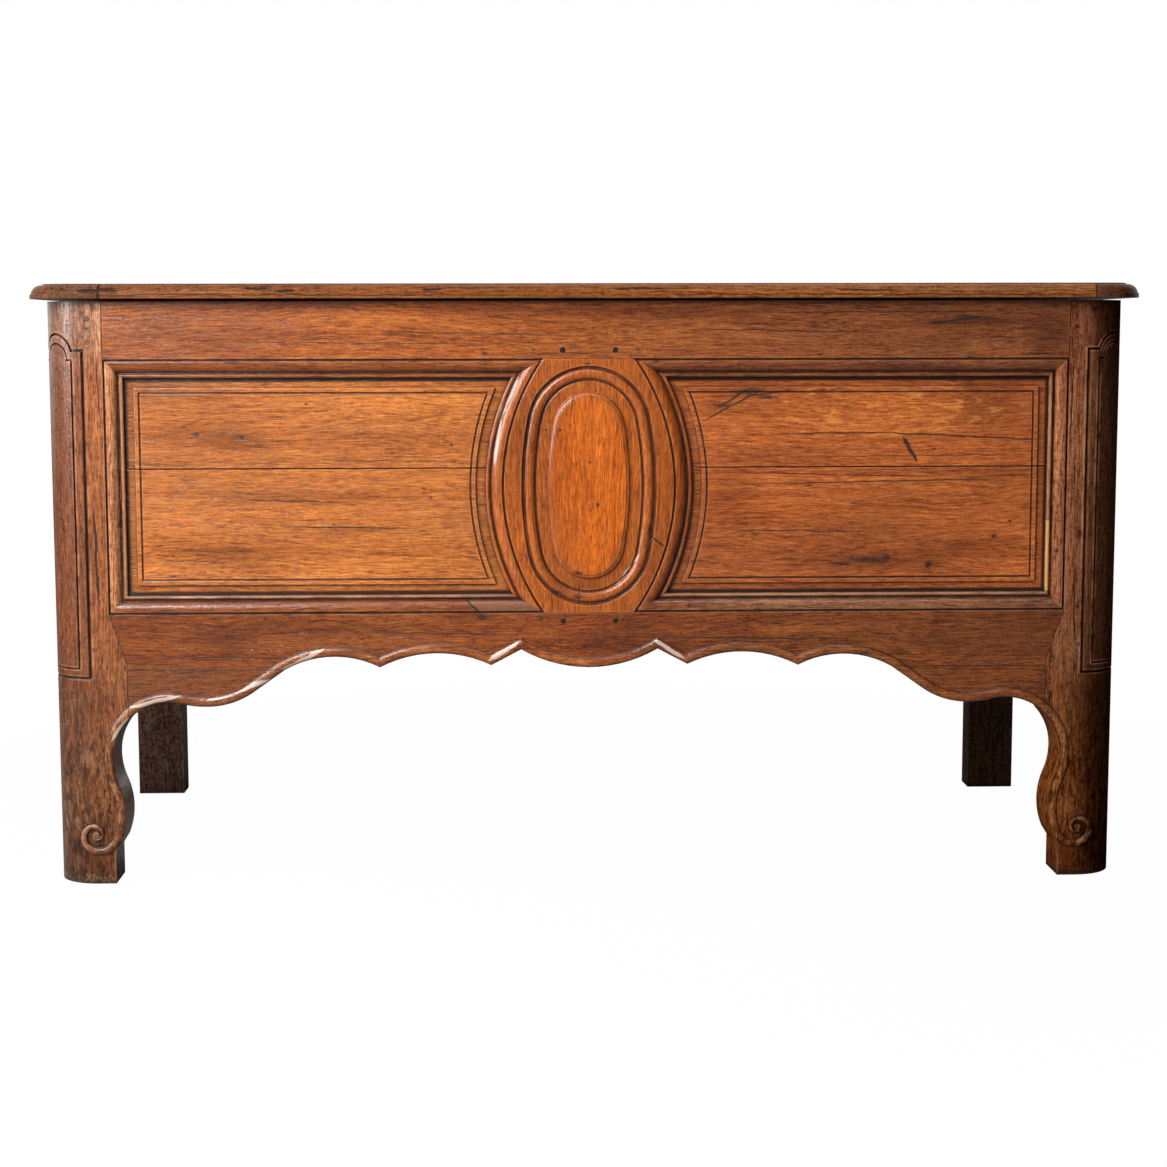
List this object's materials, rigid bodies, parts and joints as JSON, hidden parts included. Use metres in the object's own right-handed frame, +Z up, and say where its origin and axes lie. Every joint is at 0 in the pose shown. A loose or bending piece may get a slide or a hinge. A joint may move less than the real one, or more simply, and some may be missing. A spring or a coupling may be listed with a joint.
{
  "type": "coffer",
  "caption": "Joined oak coffer on scrolled bracket feet, with a moulded panelled front, an oval medallion, a beaded apron and a hinged lid for storing linen or clothes.",
  "frame": {"origin": "on the floor under the middle of the coffer's overall box", "axes": "+X to the coffer's right seen from the front, +Y towards its back, +Z up"},
  "size_m": [1.436, 0.6436, 0.78],
  "materials": {
    "oak_frame": "waxed satin",
    "oak_panel": "waxed satin",
    "oak_lid": "waxed satin",
    "oak_dark": "dull, aged",
    "oak_bare": "unfinished, aged",
    "oak_peg": "end grain, waxed",
    "forged_iron": "forged, oxidised"
  },
  "bodies": {
    "carcass": {"apron_ear_left": "oak_frame", "apron_ear_right": "oak_frame", "floor_board_1": "oak_bare", "floor_board_2": "oak_bare", "floor_board_3": "oak_bare", "floor_board_4": "oak_bare", "floor_board_5": "oak_bare", "floor_board_6": "oak_bare", "floor_ledger_front": "oak_bare", "floor_ledger_rear": "oak_bare", "front_apron_rail": "oak_frame", "front_ledger_nails": "forged_iron", "front_muntin": "oak_panel", "front_panel_left_lower": "oak_panel", "front_panel_left_upper": "oak_panel", "front_panel_right_lower": "oak_panel", "front_panel_right_upper": "oak_panel", "front_pegs": "oak_peg", "front_stile_left": "oak_frame", "front_stile_right": "oak_frame", "front_top_rail": "oak_frame", "hinge_leaf_left": "forged_iron", "hinge_leaf_nails": "forged_iron", "hinge_leaf_right": "forged_iron", "hinge_pin_left": "forged_iron", "hinge_pin_right": "forged_iron", "rear_ledger_nails": "forged_iron", "rear_lower_rail": "oak_dark", "rear_muntin": "oak_bare", "rear_panel_left": "oak_bare", "rear_panel_right": "oak_bare", "rear_pegs": "oak_peg", "rear_post_left": "oak_dark", "rear_post_right": "oak_dark", "rear_top_rail": "oak_dark", "side_lower_rail_left": "oak_frame", "side_lower_rail_right": "oak_frame", "side_panel_left": "oak_panel", "side_panel_right": "oak_panel", "side_top_rail_left": "oak_frame", "side_top_rail_right": "oak_frame"},
    "lid": {"hinge_strap_left": "forged_iron", "hinge_strap_right": "forged_iron", "lid_board_front": "oak_lid", "lid_board_middle": "oak_lid", "lid_board_rear": "oak_lid", "lid_cleat_left": "oak_lid", "lid_cleat_right": "oak_lid", "lid_strap_nails": "forged_iron"}
  },
  "joints": [
    {"name": "lid_hinge", "type": "hinge", "parent": "carcass", "child": "lid", "pos_m": [0, 0.3153, 0.7545], "axis": [-1, 0, 0], "range_deg": [0, 100]}
  ]
}
